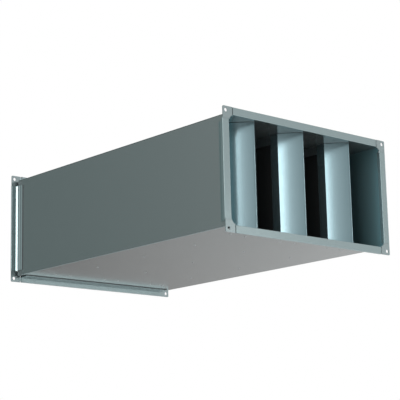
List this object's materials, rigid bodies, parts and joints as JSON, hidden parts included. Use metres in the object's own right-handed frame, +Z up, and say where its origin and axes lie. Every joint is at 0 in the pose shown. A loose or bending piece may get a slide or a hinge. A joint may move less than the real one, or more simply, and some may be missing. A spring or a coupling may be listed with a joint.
{
  "type": "duct sound attenuator",
  "caption": "Rectangular duct sound attenuator: galvanised casing with bolted flange frames at both ends and V-nosed sound-absorbing splitters inside.",
  "frame": {"origin": "centre of the bounding box in plan, at the bottom edge of the two flange frames", "axes": "+X across the duct to the right seen from the front, +Y along the air flow from the front end to the rear end, +Z up"},
  "size_m": [0.642, 1, 0.34],
  "materials": {
    "casing_steel": "hot-dip galvanised sheet, satin",
    "rail_steel": "hot-dip galvanised, roll-formed, satin",
    "corner_steel": "zinc-plated pressed steel",
    "nose_steel": "galvanised sheet, bright satin",
    "channel_steel": "hot-dip galvanised sheet, satin",
    "absorber_facing": "black glass-fibre tissue over mineral wool"
  },
  "bodies": {
    "root": {"casing_trough": "casing_steel", "casing_lid": "casing_steel", "front_rail_left": "rail_steel", "front_rail_right": "rail_steel", "front_rail_bottom": "rail_steel", "front_rail_top": "rail_steel", "front_corner_bottom_left": "corner_steel", "front_corner_bottom_right": "corner_steel", "front_corner_top_left": "corner_steel", "front_corner_top_right": "corner_steel", "rear_rail_left": "rail_steel", "rear_rail_right": "rail_steel", "rear_rail_bottom": "rail_steel", "rear_rail_top": "rail_steel", "rear_corner_bottom_left": "corner_steel", "rear_corner_bottom_right": "corner_steel", "rear_corner_top_left": "corner_steel", "rear_corner_top_right": "corner_steel", "splitter_left_nose_front": "nose_steel", "splitter_left_nose_rear": "nose_steel", "splitter_left_channel_bottom": "channel_steel", "splitter_left_channel_top": "channel_steel", "splitter_left_absorber": "absorber_facing", "splitter_centre_nose_front": "nose_steel", "splitter_centre_nose_rear": "nose_steel", "splitter_centre_channel_bottom": "channel_steel", "splitter_centre_channel_top": "channel_steel", "splitter_centre_absorber": "absorber_facing", "splitter_right_nose_front": "nose_steel", "splitter_right_nose_rear": "nose_steel", "splitter_right_channel_bottom": "channel_steel", "splitter_right_channel_top": "channel_steel", "splitter_right_absorber": "absorber_facing"}
  },
  "joints": []
}
